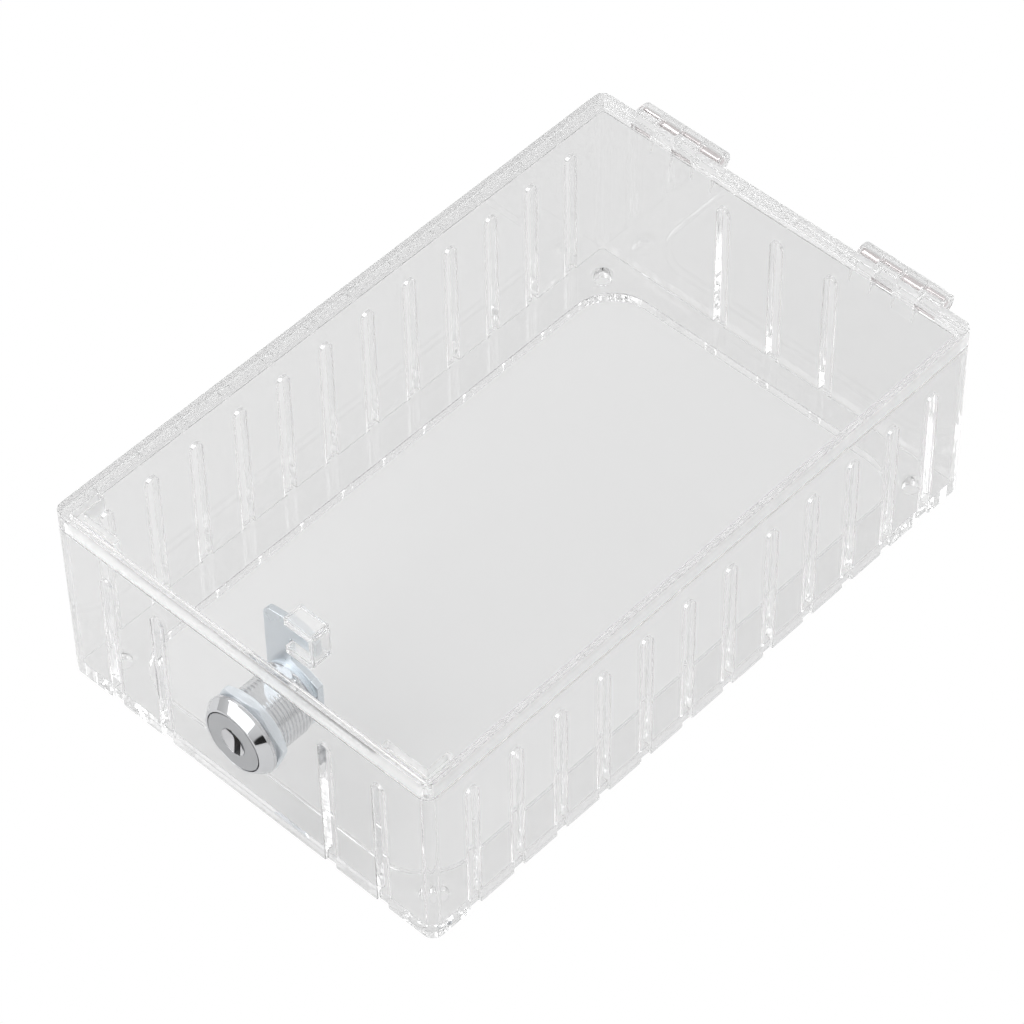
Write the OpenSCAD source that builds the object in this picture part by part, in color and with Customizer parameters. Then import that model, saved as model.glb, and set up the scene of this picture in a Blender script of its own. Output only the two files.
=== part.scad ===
// Clear lockable guard box with a hinged lid and a wafer cam lock, all sizes in millimetres.
// X is the short side, Y runs from the lock wall (-Y) to the hinge wall (+Y) and Z is up.
// The origin is at the centre of the bottom face.

/* [Box] */
// Outside width across the short side
box_w = 115; // [105:1:125]
// Outside length from the lock wall to the hinge wall
box_l = 180; // [165:1:195]
// Height of the four walls up to the seam with the lid
rim_z = 50; // [48:0.5:60]
// Wall thickness
wall_t = 2.5; // [2:0.1:3]
// Outside radius of the four upright corners
corner_r = 3; // [2:0.5:4]
// Thickness of the floor ring
floor_t = 3; // [2:0.5:4]
// Width of the floor ring beside the long walls
ring_x = 8.5; // [8:0.5:12]
// Width of the floor ring beside the short walls
ring_y = 6.5; // [6:0.5:12]
// Corner radius of the open middle of the floor
open_r = 12; // [12:1:20]
// Distance of the screw holes from the outer face of the long walls
screw_in_x = 9; // [8:0.5:9.5]
// Distance of the screw holes from the outer face of the short walls
screw_in_y = 9.5; // [8:0.5:10]
// Radius of the screw holes
screw_r = 2.1; // [1.6:0.1:2.3]
// Depth of the countersink on each screw hole
sink_d = 1; // [0.5:0.1:1.5]

/* [Vents] */
// Width of each vent slot
slot_w = 3.2; // [2.5:0.1:4]
// Depth of the notch that each slot leaves in the edge of the floor
sill_in = 0.8; // [0.4:0.1:1.5]
// Distance of the rounded top of the vent slots below the rim
slot_drop = 7.5; // [7:0.5:20]
// Number of slots in each long wall
side_slots = 12; // [6:1:12]
// Distance of the first and last slot in a long wall from the box's ends
side_margin = 13.55; // [10:0.05:20]
// Distance of the outer slots of the lock wall from the long walls
lock_slot_margin = 15.5; // [12:0.5:18]
// Distance between the two slots on each side of the lock
lock_slot_step = 16.1; // [12:0.1:16.5]
// Distance between slots in the hinge wall
hinge_slot_pitch = 16.7; // [12:0.1:17]

/* [Lid] */
// Thickness of the lid plate
lid_t = 3; // [2.5:0.1:4]
// Seam between the lid's edge and the rim of the box
lid_gap = 0.2; // [0.1:0.1:0.4]
// Height of the lid's edge below its plate
skirt_h = 1.8; // [1.5:0.1:2.5]
// Length of a locating lug along the lock wall
lug_x = 13.5; // [8:0.5:14]
// Length of a locating lug along the long wall
lug_y = 8.4; // [6:0.2:10]
// Thickness of the locating lugs
lug_t = 2; // [1.5:0.1:2.5]
// Depth of the locating lugs below the lid plate
lug_drop = 4.8; // [4:0.2:6]
// Gap between a locating lug and the wall
lug_gap = 0.4; // [0.3:0.1:0.8]

/* [Hinges] */
// Distance of each hinge's outer end from the outer face of the long wall
hinge_in = 10.65; // [8:0.05:14]
// Width of one hinge knuckle
knuckle_w = 6.1; // [5:0.1:6.5]
// Side gap between hinge knuckles
knuckle_gap = 0.3; // [0.2:0.05:0.4]
// Outside radius of the hinge knuckles
knuckle_r = 2.7; // [2.4:0.1:3]
// Gap between a knuckle and the wall or lid edge beside it
hinge_gap = 0.3; // [0.2:0.05:0.5]
// Height of the gusset under the box's knuckles, below the rim
gusset_h = 6; // [4:0.5:7]
// Radius of the steel hinge pins
pin_r = 1; // [0.8:0.1:1.2]
// Clearance of a pin in the box's knuckles
pin_hold = 0.02; // [0.02:0.01:0.03]
// Running clearance of a pin in the lid's knuckles
pin_run = 0.08; // [0.05:0.01:0.1]

/* [Catch] */
// Left face of the catch block, from the middle of the box
catch_x = 1; // [0.8:0.1:1.5]
// Width of the catch block
catch_w = 9; // [8.8:0.1:9.4]
// Thickness of the catch block along the box
catch_l = 5.5; // [5:0.1:6]
// Height of the catch block below the lid plate
catch_h = 12; // [11.8:0.1:12.2]
// Thickness of the lip under the pocket
catch_lip = 2.5; // [2.3:0.1:2.6]
// Thickness of the block above the pocket
catch_roof = 2.5; // [2.2:0.1:2.7]
// Gap between the cam's tip and the top of the pocket
tip_gap = 0.9; // [0.6:0.1:1.2]
// Thickness of the block beyond the pocket
catch_end = 1.6; // [1.4:0.1:1.8]
// Radius of the block's outer lower corner
catch_round = 3; // [2:0.5:4]

/* [Lock body] */
// Sideways place of the lock's axis
lock_x = 0.5; // [0:0.1:0.6]
// Distance of the lock's axis below the rim
lock_drop = 25; // [23:0.5:28]
// Distance the lock head reaches past the barrel
head_lip = 2; // [1.6:0.1:3]
// Width of the head's flat front ring around the plug
front_lip = 0.55; // [0.4:0.05:0.8]
// Distance the lock head stands out of the wall
head_h = 3.4; // [3:0.1:4]
// Height of the head's straight edge at the wall
head_edge = 1; // [0.6:0.1:1.4]
// Wall of the threaded barrel
barrel_wall = 2.15; // [2.1:0.05:3]
// Length of the threaded barrel behind the wall's outer face
barrel_l = 14.6; // [13:0.1:16]
// Depth of the barrel's two flats
flat_d = 0.8; // [0.5:0.05:0.85]
// Pitch of the barrel's thread
thread_p = 1; // [0.8:0.1:1.2]
// Depth of the barrel's thread
thread_d = 0.45; // [0.3:0.05:0.5]
// Clearance of the barrel in the wall and in the nut
barrel_gap = 0.1; // [0.05:0.05:0.15]
// Wall of the nut at its flats
nut_wall = 1.4; // [1.3:0.1:3]
// Thickness of the nut
nut_t = 2.4; // [2:0.1:4]
// Turn of the nut as seen from the front
nut_turn = 8; // [0:1:59]

/* [Lock plug] */
// Distance the plug's round face reaches past its shank
face_step = 1.6; // [1.4:0.1:1.8]
// Gap between the plug's face and the head around it
face_gap = 0.25; // [0.15:0.05:0.3]
// Thickness of the plug's round face
face_t = 1.6; // [1.4:0.1:1.8]
// Radius of the plug's shank
shank_r = 6.2; // [5.8:0.05:7.4]
// Running clearance of the shank in the barrel
shank_run = 0.05; // [0.03:0.01:0.1]
// Radius of the dish around the keyway
dish_r = 3.6; // [3:0.1:4]
// Depth of the dish around the keyway
dish_d = 1.1; // [0.8:0.1:1.3]
// Length of the keyway's opening
key_l = 7.6; // [7:0.1:8]
// Width of the keyway
key_w = 2; // [1.8:0.1:2.2]
// Lean of the keyway from upright as seen from the front
key_tilt = 17; // [10:1:20]
// Side of the plug's square end
square_s = 7; // [6.8:0.1:7.2]
// Clearance of the square holes on the square end
square_gap = 0.05; // [0.04:0.01:0.1]
// Thickness of a wafer
wafer_t = 1; // [0.9:0.05:1.1]
// Distance between wafers
wafer_p = 2; // [1.9:0.1:2.1]
// Width of a wafer
wafer_w = 6; // [5.8:0.1:6.2]
// Gap around a wafer in its slot
wafer_gap = 0.06; // [0.04:0.01:0.08]
// Radius of a wafer spring
spring_r = 0.6; // [0.5:0.05:0.65]
// Depth of the two locking grooves in the barrel's bore
groove_d = 0.6; // [0.4:0.05:0.65]

/* [Cam] */
// Thickness of the stop washer
stop_t = 0.8; // [0.6:0.05:1]
// Thickness of the cam plate
cam_t = 1.8; // [1.6:0.1:2]
// Half the width of the cam plate
cam_w = 8; // [7.5:0.1:8]
// Radius of the cam's free corner
cam_round = 2.5; // [2:0.1:3]
// Gap between the cam and the catch
cam_gap = 0.5; // [0.4:0.05:0.6]
// Depth of the notch's shoulder at the cam's edge below the inner end
shoulder_fall = 3.5; // [3:0.1:4]
// Radius of the cam screw's head
cam_screw_head = 3.6; // [3.2:0.1:4]
// Height of the cam screw's head
cam_screw_h = 2.4; // [2:0.1:3]
// Radius of the cam screw's shank
cam_screw_r = 1.9; // [1.8:0.05:2]

/* [Hidden] */
eps = 0.01;
open_w = box_w - 2 * (wall_t + ring_x);
open_l = box_l - 2 * (wall_t + ring_y);
screw_x = box_w - 2 * screw_in_x;
screw_y = box_l - 2 * screw_in_y;
slot_top = rim_z - slot_drop;
side_pitch = (box_l - 2 * side_margin) / (side_slots - 1);
lock_slot_out = box_w / 2 - lock_slot_margin;
lock_slot_in = lock_slot_out - lock_slot_step;
lock_z = rim_z - lock_drop;
lid_z = rim_z + lid_gap;
plate_z = lid_z + skirt_h;
top_z = plate_z + lid_t;
hinge_z = top_z - knuckle_r;
hinge_y = box_l / 2 + knuckle_r + hinge_gap;
knuckle_step = knuckle_w + knuckle_gap;
hinge_l = 4 * knuckle_step - knuckle_gap;
hinge_x = box_w / 2 - hinge_in - hinge_l / 2;
gusset_z = rim_z - gusset_h;
gusset_drop = hinge_z - gusset_z;
gusset_off = hinge_y - box_l / 2;
gusset_a = -asin(knuckle_r / norm([gusset_drop, gusset_off])) - atan2(gusset_off, gusset_drop);
catch_z = plate_z - catch_h;
pocket_z = catch_z + catch_lip;
pocket_h = catch_h - catch_lip - catch_roof;
stop_z = barrel_l + shank_run;
cam_z = stop_z + stop_t;
washer_z = cam_z + cam_t;
washer_t = 0.5;
catch_y = -box_l / 2 + cam_z + cam_t / 2 - catch_l / 2;
bore_r = shank_r + shank_run;
barrel_r = bore_r + barrel_wall;
flat_h = barrel_r - flat_d;
face_r = shank_r + face_step;
head_r = barrel_r + head_lip;
head_front_r = face_r + face_gap + front_lip;
nut_af = 2 * (barrel_r + nut_wall);
root_r = barrel_r - thread_d;
stop_in = bore_r + 0.55;
wafer_z0 = 1.2;
spring_x = wafer_w / 2 + wafer_gap + spring_r + 0.3;
spring_l = sqrt(pow(shank_r - 0.1, 2) - pow(spring_x + spring_r + 0.1, 2)) - 0.6;
ear_l = 1.2;
neck_x = catch_x - lock_x - cam_gap;
hook_y = pocket_z + 0.4 - lock_z;
hook_x = catch_x + catch_w - catch_end - lock_x - cam_gap;
shoulder_y = catch_z - lock_z - 4.7;
cam_reach = pocket_z + pocket_h - tip_gap - lock_z;
round_c = cam_reach - cam_round;
round_x = cam_round - cam_w;
round_y = sqrt(round_c * round_c - round_x * round_x);

// A block with round upright edges, standing on z = 0 and centred on the origin.
module round_block(w, l, h, r) {
  translate([-w / 2 + r, -l / 2, 0]) cube([w - 2 * r, l, h]);
  translate([-w / 2, -l / 2 + r, 0]) cube([w, l - 2 * r, h]);
  for (x = [-1, 1], y = [-1, 1])
    translate([x * (w / 2 - r), y * (l / 2 - r), 0]) cylinder(r = r, h = h, $fn = 48);
}

// A vent slot in a wall whose outer face is at y = d: through the wall above the floor, a notch below.
module slot_cut(d) {
  translate([-slot_w / 2, d - sill_in, -1]) cube([slot_w, sill_in + 1, floor_t + 1.5]);
  translate([-slot_w / 2, d - wall_t - 0.3, floor_t])
    cube([slot_w, wall_t + 1.3, slot_top - slot_w / 2 - floor_t]);
  translate([0, d - wall_t - 0.3, slot_top - slot_w / 2])
    rotate([-90, 0, 0]) cylinder(r = slot_w / 2, h = wall_t + 1, $fn = 32);
}

// Moves a piece of the lock from its own axis to its place, seen from the front with z pointing outwards.
module at_lock() {
  translate([lock_x, -box_l / 2, lock_z]) rotate([90, 0, 0]) children();
}

// Turns the keyway's parts to the keyway's lean.
module at_key() {
  at_lock() rotate([0, 0, key_tilt]) children();
}

// The round barrel section with two flats, used for the barrel and for its hole in the wall.
module double_d(r, half, z0, z1) {
  intersection() {
    translate([0, 0, z0]) cylinder(r = r, h = z1 - z0, $fn = 72);
    translate([-r - 1, -half, z0 - 1]) cube([2 * r + 2, 2 * half, z1 - z0 + 2]);
  }
}

// One knuckle of a hinge: k counts from the outer end of the hinge on side s.
module at_knuckle(s, k) {
  x = s * (hinge_x + hinge_l / 2 - k * knuckle_step);
  translate([s > 0 ? x - knuckle_w : x, 0, 0]) children();
}

// A barrel-shaped knuckle along X on the hinge line.
module knuckle_round(r, grow) {
  translate([-grow, hinge_y, hinge_z])
    rotate([0, 90, 0]) cylinder(r = r, h = knuckle_w + 2 * grow, $fn = 48);
}

// A box knuckle with the gusset that carries it on the wall.
module box_knuckle() {
  knuckle_round(knuckle_r, 0);
  rotate([90, 0, 90]) linear_extrude(knuckle_w)
    polygon([[box_l / 2 - 0.5, rim_z], [hinge_y, rim_z], [hinge_y, hinge_z],
      [hinge_y + knuckle_r * cos(gusset_a), hinge_z + knuckle_r * sin(gusset_a)],
      [box_l / 2, gusset_z], [box_l / 2 - 0.5, gusset_z]]);
}

// A lid knuckle with the block that joins it to the lid's edge.
module lid_knuckle() {
  knuckle_round(knuckle_r, 0);
  translate([0, box_l / 2 - 0.5, lid_z]) cube([knuckle_w, hinge_y - box_l / 2 + 0.5, top_z - lid_z]);
}

// The walls, the floor ring, the vent slots, the lock's hole and the box's hinge knuckles.
module box_body() {
  color([0.92, 0.94, 0.95, 0.35])
    difference() {
      union() {
        difference() {
          round_block(box_w, box_l, rim_z, corner_r);
          translate([0, 0, floor_t])
            round_block(box_w - 2 * wall_t, box_l - 2 * wall_t, rim_z, corner_r - wall_t + 0.5);
        }
        for (s = [-1, 1], k = [1, 3]) at_knuckle(s, k) box_knuckle();
      }
      translate([0, 0, -1]) round_block(open_w, open_l, floor_t + 2, open_r);
      for (s = [0, 180], i = [0:side_slots - 1])
        rotate([0, 0, s - 90])
          translate([(i - (side_slots - 1) / 2) * side_pitch, 0, 0]) slot_cut(box_w / 2);
      for (x = [-lock_slot_out, -lock_slot_in, lock_slot_in, lock_slot_out])
        rotate([0, 0, 180]) translate([x, 0, 0]) slot_cut(box_l / 2);
      for (i = [-1, 0, 1]) translate([i * hinge_slot_pitch, 0, 0]) slot_cut(box_l / 2);
      for (x = [-1, 1], y = [-1, 1]) translate([x * screw_x / 2, y * screw_y / 2, 0]) {
        translate([0, 0, -1]) cylinder(r = screw_r, h = floor_t + 2, $fn = 48);
        translate([0, 0, floor_t - sink_d])
          cylinder(r1 = screw_r, r2 = screw_r + sink_d, h = sink_d, $fn = 48);
        translate([0, 0, floor_t]) cylinder(r = screw_r + sink_d, h = 1, $fn = 48);
      }
      at_lock() double_d(barrel_r + barrel_gap, flat_h + barrel_gap, -wall_t - 1, 1);
      for (s = [-1, 1], k = [1, 3]) at_knuckle(s, k) knuckle_round(pin_r + pin_hold, 0.2);
    }
}

// One L-shaped locating lug under the lid, at the lock end on side s.
module lug(s) {
  x = box_w / 2 - wall_t - lug_gap;
  y = box_l / 2 - wall_t - lug_gap;
  scale([s, 1, 1]) {
    translate([x - lug_x, -y, plate_z - lug_drop]) cube([lug_x, lug_t, lug_drop + 0.5]);
    translate([x - lug_t, -y, plate_z - lug_drop]) cube([lug_t, lug_y, lug_drop + 0.5]);
  }
}

// The flat lid with its shallow edge, two locating lugs and the lid's hinge knuckles.
module lid() {
  color([0.92, 0.94, 0.95, 0.35])
    difference() {
      union() {
        difference() {
          translate([0, 0, lid_z]) round_block(box_w, box_l, top_z - lid_z, corner_r);
          translate([0, 0, lid_z - 1])
            round_block(box_w - 2 * wall_t, box_l - 2 * wall_t, skirt_h + 1, corner_r - wall_t + 0.5);
        }
        lug(-1);
        lug(1);
        for (s = [-1, 1], k = [0, 2]) at_knuckle(s, k) lid_knuckle();
      }
      for (s = [-1, 1], k = [0, 2]) at_knuckle(s, k) knuckle_round(pin_r + pin_run, 0.2);
    }
}

// The C-shaped block bonded under the lid, open towards the side the cam's hook comes from.
module lid_catch() {
  color([0.92, 0.94, 0.95, 0.35])
    translate([catch_x, catch_y, catch_z])
      difference() {
        union() {
          translate([0, 0, catch_round]) cube([catch_w, catch_l, catch_h - catch_round]);
          cube([catch_w - catch_round, catch_l, catch_round]);
          translate([catch_w - catch_round, 0, catch_round])
            rotate([-90, 0, 0]) cylinder(r = catch_round, h = catch_l, $fn = 48);
        }
        translate([-1, -1, catch_lip]) cube([catch_w - catch_end + 1, catch_l + 2, pocket_h]);
      }
}

// A straight steel hinge pin, a little shorter than its row of knuckles.
module hinge_pin(s) {
  color([0.55, 0.56, 0.58])
    translate([s * hinge_x - hinge_l / 2 + 0.2, hinge_y, hinge_z])
      rotate([0, 90, 0]) cylinder(r = pin_r, h = hinge_l - 0.4, $fn = 32);
}

module hinge_pin_left() {
  hinge_pin(-1);
}

module hinge_pin_right() {
  hinge_pin(1);
}

// The barrel's thread as rings of one pitch, from the nut side of the wall to the barrel's end.
module thread_rings() {
  n = floor((barrel_l - 0.6) / thread_p);
  pts = [for (i = [0:n - 1], p = [[0, 0], [0.25, 0], [0.5, 1], [0.75, 1]])
    [barrel_r - p[1] * thread_d, -0.6 - (i + p[0]) * thread_p]];
  rotate_extrude($fn = 72)
    polygon(concat([[0, 0], [barrel_r, 0]], pts, [[root_r, -barrel_l], [0, -barrel_l]]));
}

// A ring sector of the stop, from radius r0 to radius r1, spanning w degrees about angle c.
module sector(r0, r1, c, w, z0, h) {
  intersection() {
    difference() {
      translate([0, 0, z0]) cylinder(r = r1, h = h, $fn = 72);
      translate([0, 0, z0 - 1]) cylinder(r = r0, h = h + 2, $fn = 72);
    }
    translate([0, 0, z0]) linear_extrude(h)
      polygon(concat([[0, 0]],
        [for (t = [0:4]) let (a = c - w / 2 + t * w / 4) [20 * cos(a), 20 * sin(a)]]));
  }
}

// The lock's body: bevelled head, threaded barrel with two flats, bore, locking grooves and turning stop.
module lock_housing() {
  color([0.8, 0.81, 0.83])
    at_lock() {
      difference() {
        union() {
          rotate_extrude($fn = 96)
            polygon([[0, -0.5], [flat_h - 0.5, -0.5], [flat_h - 0.5, 0], [head_r, 0], [head_r, head_edge],
              [head_front_r, head_h], [0, head_h]]);
          intersection() {
            thread_rings();
            translate([-20, -flat_h, -30]) cube([40, 2 * flat_h, 40]);
          }
        }
        translate([0, 0, -barrel_l - 1]) cylinder(r = bore_r, h = barrel_l + head_h + 2, $fn = 72);
        translate([0, 0, head_h - face_t - 0.1]) cylinder(r = face_r + face_gap, h = face_t + 1, $fn = 96);
        rotate([0, 0, key_tilt])
          translate([-wafer_w / 2 - 0.2, -bore_r - groove_d, -barrel_l - 1])
            cube([wafer_w + 0.4, 2 * bore_r + 2 * groove_d, barrel_l]);
      }
      sector(stop_in, root_r, 315, 135, -barrel_l - stop_t, stop_t + 0.3);
    }
}

// The hexagon nut behind the wall, with its outer corners turned down.
module lock_nut() {
  color([0.86, 0.89, 0.91])
    at_lock()
      difference() {
        intersection() {
          translate([0, 0, -wall_t - nut_t])
            rotate([0, 0, nut_turn]) cylinder(r = nut_af / sqrt(3), h = nut_t, $fn = 6);
          translate([0, 0, -wall_t - nut_t]) rotate_extrude($fn = 96)
            polygon([[0, 0], [nut_af / 2 + 0.1, 0], [nut_af / 2 + 2, 1.1], [nut_af / 2 + 2, nut_t - 0.5],
              [nut_af / 2 + 1.1, nut_t], [0, nut_t]]);
        }
        translate([0, 0, -wall_t - nut_t - 1]) cylinder(r = barrel_r + barrel_gap, h = nut_t + 2, $fn = 72);
      }
}

// The outline of a wafer's blade, used for the wafer and with a gap for its slot.
module wafer_solid(g, z0, t) {
  translate([-wafer_w / 2 - g, -shank_r - 1, z0]) cube([wafer_w + 2 * g, 2 * shank_r + 2, t]);
  translate([0, 0, z0]) cube([spring_x + spring_r + g, ear_l + 2 * g, t]);
}

// Depth of wafer i behind the wall's outer face.
function wafer_at(i) = -wafer_z0 - i * wafer_p - wafer_t;

// The turning plug: round face with a dish and keyway, shank with wafer slots, square end and screw hole.
module lock_plug() {
  color([0.7, 0.71, 0.72])
    difference() {
      union() {
        at_lock() {
          translate([0, 0, head_h - face_t]) cylinder(r = face_r, h = face_t, $fn = 96);
          translate([0, 0, -barrel_l]) cylinder(r = shank_r, h = barrel_l + head_h - face_t + 0.1, $fn = 72);
          translate([-square_s / 2, -square_s / 2, -washer_z + 0.05]) cube([square_s, square_s, washer_z]);
        }
      }
      at_key() {
        translate([0, 0, head_h - dish_d]) cylinder(r1 = 1.2, r2 = dish_r, h = dish_d, $fn = 64);
        translate([0, 0, head_h - eps]) cylinder(r = dish_r, h = 1, $fn = 64);
        translate([-key_w / 2, -key_l / 2, -wafer_z0 - 5 * wafer_p]) cube([key_w, key_l, 20]);
        for (i = [0:4]) {
          intersection() {
            wafer_solid(wafer_gap, wafer_at(i) - wafer_gap, wafer_t + 2 * wafer_gap);
            translate([0, 0, -barrel_l]) cylinder(r = shank_r + 0.5, h = barrel_l, $fn = 72);
          }
          translate([spring_x, -spring_l - 0.3, wafer_at(i) + wafer_t / 2])
            rotate([-90, 0, 0]) cylinder(r = spring_r + 0.1, h = spring_l + 0.4, $fn = 24);
        }
      }
      at_lock() translate([0, 0, -washer_z - 1]) cylinder(r = cam_screw_r + 0.05, h = 7, $fn = 32);
    }
}

// One wafer with its key window and the ear its spring pushes on.
module wafer(i) {
  color([0.78, 0.68, 0.4])
    at_key()
      difference() {
        intersection() {
          wafer_solid(0, wafer_at(i), wafer_t);
          translate([0, 0, wafer_at(i) - 1]) cylinder(r = shank_r - 0.05, h = wafer_t + 2, $fn = 72);
        }
        translate([-1.5, -2.9 - 0.25 * (i % 3), wafer_at(i) - 1]) cube([3, 6.4, wafer_t + 2]);
      }
}

module wafer_1() {
  wafer(0);
}

module wafer_2() {
  wafer(1);
}

module wafer_3() {
  wafer(2);
}

module wafer_4() {
  wafer(3);
}

module wafer_5() {
  wafer(4);
}

// One wafer spring, its coils drawn as ribs on a thin sleeve.
module spring(i) {
  n = 5;
  p = spring_l / n;
  pts = [for (k = [0:n - 1], q = [[0, 0.12], [0.3, 0], [0.7, 0]]) [spring_r - q[1], (k + q[0]) * p]];
  color([0.6, 0.61, 0.63])
    at_key() translate([spring_x, -spring_l, wafer_at(i) + wafer_t / 2]) rotate([-90, 0, 0])
      rotate_extrude($fn = 20)
        polygon(concat([[spring_r - 0.28, 0]], pts,
          [[spring_r - 0.12, spring_l], [spring_r - 0.28, spring_l]]));
}

module spring_1() {
  spring(0);
}

module spring_2() {
  spring(1);
}

module spring_3() {
  spring(2);
}

module spring_4() {
  spring(3);
}

module spring_5() {
  spring(4);
}

// The square hole that slides on the plug's square end.
module square_hole(z0, h) {
  s = square_s + 2 * square_gap;
  translate([-s / 2, -s / 2, z0]) cube([s, s, h]);
}

// The stop washer: its wide tab meets the barrel's stop at both ends of a quarter turn.
module stop_washer() {
  color([0.75, 0.76, 0.78])
    at_lock()
      difference() {
        union() {
          translate([0, 0, -cam_z]) cylinder(r = stop_in - 0.15, h = stop_t, $fn = 72);
          sector(stop_in - 0.4, root_r - 0.1, 90, 133, -cam_z, stop_t);
        }
        square_hole(-cam_z - 1, stop_t + 2);
      }
}

// The hooked cam: its outer arc and free corner are round about the lock's axis.
module cam() {
  color([0.74, 0.77, 0.8])
    at_lock() translate([0, 0, -washer_z])
      difference() {
        intersection() {
          cylinder(r = cam_reach, h = cam_t, $fn = 120);
          union() {
            cylinder(r = cam_w, h = cam_t, $fn = 96);
            translate([-cam_w, 0, 0]) cube([2 * cam_w, round_y, cam_t]);
            translate([round_x, round_y, 0]) cylinder(r = cam_round, h = cam_t, $fn = 48);
            linear_extrude(cam_t)
              polygon([[0, 0], [round_x * 1.2, round_y * 1.2], [cam_w, 30], [cam_w, 0]]);
          }
        }
        translate([0, 0, -1]) linear_extrude(cam_t + 2)
          polygon([[neck_x, hook_y], [neck_x, shoulder_y], [cam_w, shoulder_y - shoulder_fall],
            [cam_w + 2, shoulder_y - shoulder_fall], [cam_w + 2, hook_y]]);
        translate([hook_x, hook_y - 1, -1]) cube([10, 20, cam_t + 2]);
        square_hole(-1, cam_t + 2);
      }
}

module cam_washer() {
  color([0.75, 0.76, 0.78])
    at_lock() translate([0, 0, -washer_z - washer_t])
      difference() {
        cylinder(r = square_s * 0.74, h = washer_t, $fn = 64);
        translate([0, 0, -1]) cylinder(r = cam_screw_r + 0.2, h = washer_t + 2, $fn = 32);
      }
}

// The cross-recess screw that holds the cam on the plug.
module cam_screw() {
  color([0.8, 0.81, 0.83])
    at_lock() translate([0, 0, -washer_z - washer_t])
      difference() {
        union() {
          cylinder(r = cam_screw_r, h = washer_t + 5.5, $fn = 32);
          translate([0, 0, -cam_screw_h])
            cylinder(r1 = cam_screw_head - 0.8, r2 = cam_screw_head, h = 0.8, $fn = 48);
          translate([0, 0, -cam_screw_h + 0.8])
            cylinder(r = cam_screw_head, h = cam_screw_h - 0.8, $fn = 48);
        }
        for (a = [0, 90])
          rotate([0, 0, a]) translate([-2, -0.4, -cam_screw_h - 1]) cube([4, 0.8, 2.2]);
      }
}

box_body();
lid();
lid_catch();
hinge_pin_left();
hinge_pin_right();
lock_housing();
lock_nut();
lock_plug();
wafer_1();
wafer_2();
wafer_3();
wafer_4();
wafer_5();
spring_1();
spring_2();
spring_3();
spring_4();
spring_5();
stop_washer();
cam();
cam_washer();
cam_screw();
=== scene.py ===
# %% [markdown]
# # A lockable clear guard box
# A low box of clear plastic screws to a wall or a shelf through the ring that is its floor. Its lid swings
# on two pin hinges, and a chrome cam lock in the end wall holds a hook under a block on the lid.
# The design model gives every size. This lesson dresses it: first a camera, a floor and light, then one
# material for each real finish, then the pieces whose surfaces need more than the design model's
# flat facets. Everything is in metres, in the design model's own frame.

import bmesh
import bpy
import numpy as np
from mathutils import Matrix, Vector


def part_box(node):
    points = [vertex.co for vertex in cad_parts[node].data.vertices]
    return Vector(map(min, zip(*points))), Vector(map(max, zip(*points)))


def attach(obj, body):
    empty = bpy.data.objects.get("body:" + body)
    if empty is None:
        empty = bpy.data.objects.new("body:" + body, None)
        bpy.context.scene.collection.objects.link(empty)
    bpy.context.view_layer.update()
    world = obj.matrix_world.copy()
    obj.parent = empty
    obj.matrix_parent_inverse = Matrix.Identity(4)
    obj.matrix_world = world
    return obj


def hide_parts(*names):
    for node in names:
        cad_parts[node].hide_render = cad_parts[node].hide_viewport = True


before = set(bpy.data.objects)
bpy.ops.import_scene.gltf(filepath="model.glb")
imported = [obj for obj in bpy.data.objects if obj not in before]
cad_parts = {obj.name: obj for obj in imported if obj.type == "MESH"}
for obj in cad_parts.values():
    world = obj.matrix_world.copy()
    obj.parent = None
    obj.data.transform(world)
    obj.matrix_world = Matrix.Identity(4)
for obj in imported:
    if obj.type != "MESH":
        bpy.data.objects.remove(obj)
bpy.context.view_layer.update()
MM = 0.001

# %% [markdown]
# The boxes that the design model's parts fill give the lock's place across and up, the height of the rim
# and the line of the hinges, so a change there moves the pieces here with it. The outer face of the lock
# wall and the wall's thickness are numbers here, and have to follow the design model by hand.

# %% Read the places that the pieces are built round


def span(node):
    """The lowest and highest corner of a part of the design model, in millimetres."""
    low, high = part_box(node)
    return np.array(low) / MM, np.array(high) / MM


body_high = span("box_body")[1]
lid_low, lid_high = span("lid")
lock_middle = sum(span("lock_housing")) / 2
WALL_FACE = -90.0
WALL_T = 2.5
LOCK_AXIS = np.array([lock_middle[0], WALL_FACE, lock_middle[2]])
print("lock axis in mm:", np.round(LOCK_AXIS, 2), " rim height:", round(float(lid_low[2]), 2))

# %% [markdown]
# ## Camera
# The view is from the front right and high up, with a long lens: the box fills the frame while its sides
# stay nearly parallel. A camera could be aimed with a constraint, but a place, two angles and a small
# roll say the same and leave nothing live in the scene.

# %% Camera
CAMERA_PLACE = Vector((0.47379, -0.49457, 0.81540))
CAMERA_AIM = Vector((0.0014, -0.0048, 0.0274))
CAMERA_ROLL = np.radians(-1.07)
camera_data = bpy.data.cameras.new("camera")
camera_data.sensor_width = 36.0
camera_data.lens = 160.57
camera_data.clip_start = 0.01
camera = bpy.data.objects.new("camera", camera_data)
bpy.context.scene.collection.objects.link(camera)
look = (CAMERA_AIM - CAMERA_PLACE).to_track_quat("-Z", "Y").to_matrix().to_4x4()
camera.matrix_world = Matrix.Translation(CAMERA_PLACE) @ look @ Matrix.Rotation(CAMERA_ROLL, 4, "Z")
bpy.context.scene.camera = camera
print("camera is", round((CAMERA_AIM - CAMERA_PLACE).length, 3), "m from the box")

# %% [markdown]
# ## Colour and nodes
# Colours are written as the sRGB hex values that a colour picker shows. Cycles works with linear light,
# so one function turns them. A second small function adds any shader node with its settings and its
# links, which keeps each material's recipe short enough to read.

# %% Colour and node helpers


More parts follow.
